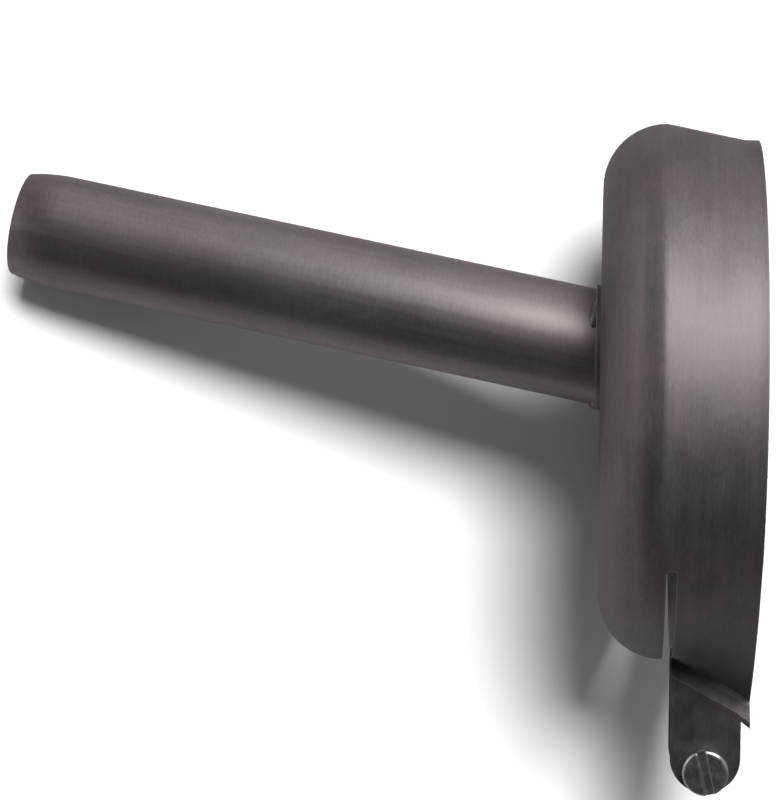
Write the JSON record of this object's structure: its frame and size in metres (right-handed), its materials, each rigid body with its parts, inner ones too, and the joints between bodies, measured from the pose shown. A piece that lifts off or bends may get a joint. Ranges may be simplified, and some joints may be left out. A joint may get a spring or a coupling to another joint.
{
  "type": "extension nozzle",
  "caption": "Steel extension nozzle: a slender open tube on a shallow clamp collar, whose sprung tongues are drawn together by a screw, for a garden machine's outlet.",
  "frame": {"origin": "centre of the collar's mouth, in the plane of its rim; the part stands on this rim", "axes": "+Z along the collar's axis, from the mouth towards the tube's tip; the clamp ears stand out along -X; the screw's head faces -Y"},
  "size_m": [0.1015, 0.081, 0.1143],
  "materials": {
    "collar_steel": "fine circumferential brushing",
    "tube_steel": "satin, drawn along its length",
    "weld_steel": "as welded, dull",
    "screw_steel": "bright plated",
    "nut_steel": "bright plated"
  },
  "bodies": {
    "root": {"collar": "collar_steel", "tube": "tube_steel", "weld_tacks": "weld_steel", "clamp_screw": "screw_steel", "clamp_nut": "nut_steel"}
  },
  "joints": []
}
